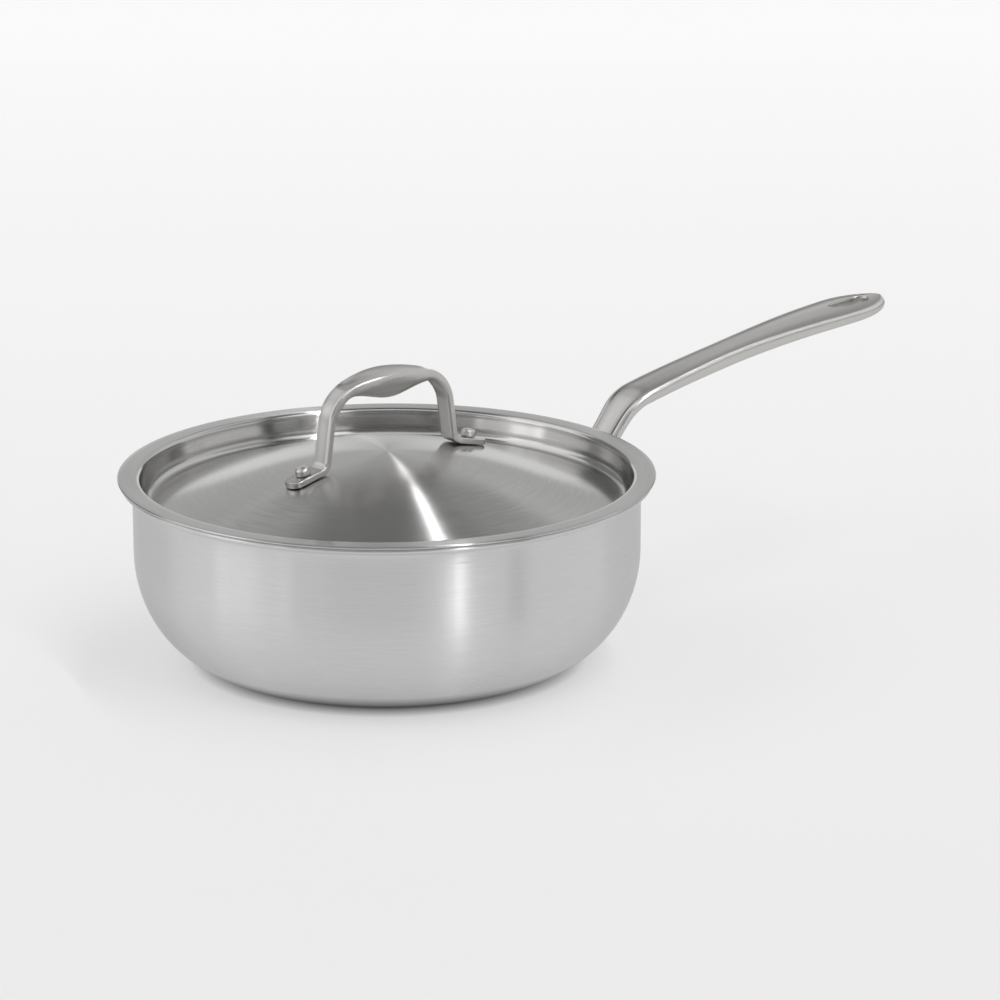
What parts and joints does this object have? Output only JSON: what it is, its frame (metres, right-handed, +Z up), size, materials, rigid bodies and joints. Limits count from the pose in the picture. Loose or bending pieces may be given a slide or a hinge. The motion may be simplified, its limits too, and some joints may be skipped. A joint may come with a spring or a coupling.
{
  "type": "saucier with lid",
  "caption": "Steel saucier with a curved foot, a rolled lip, a long cast handle with a hanging hole, and a domed lid with a riveted strap handle.",
  "frame": {"origin": "centre of the flat base, on the surface that the pan stands on", "axes": "+Z up along the axis of the pan, +X along the long handle towards its tip"},
  "size_m": [0.4378, 0.24, 0.1322],
  "materials": {
    "brushed_steel": "brushed in fine lines around the pan",
    "lid_steel": "brushed in circles on the dome, smoother on the ring",
    "cast_steel": "satin, with brighter worn edges",
    "rivet_steel": "smooth and bright"
  },
  "bodies": {
    "pan": {"pan_body": "brushed_steel", "pan_handle": "cast_steel", "handle_rivet_1": "rivet_steel", "handle_rivet_2": "rivet_steel", "handle_rivet_3": "rivet_steel"},
    "lid": {"lid_shell": "lid_steel", "lid_handle": "cast_steel", "lid_rivet_1": "rivet_steel", "lid_rivet_2": "rivet_steel"}
  },
  "joints": [
    {"name": "lid_lift", "type": "slide", "parent": "pan", "child": "lid", "axis": [0, 0, 1], "range_m": [0, 0.12]}
  ]
}
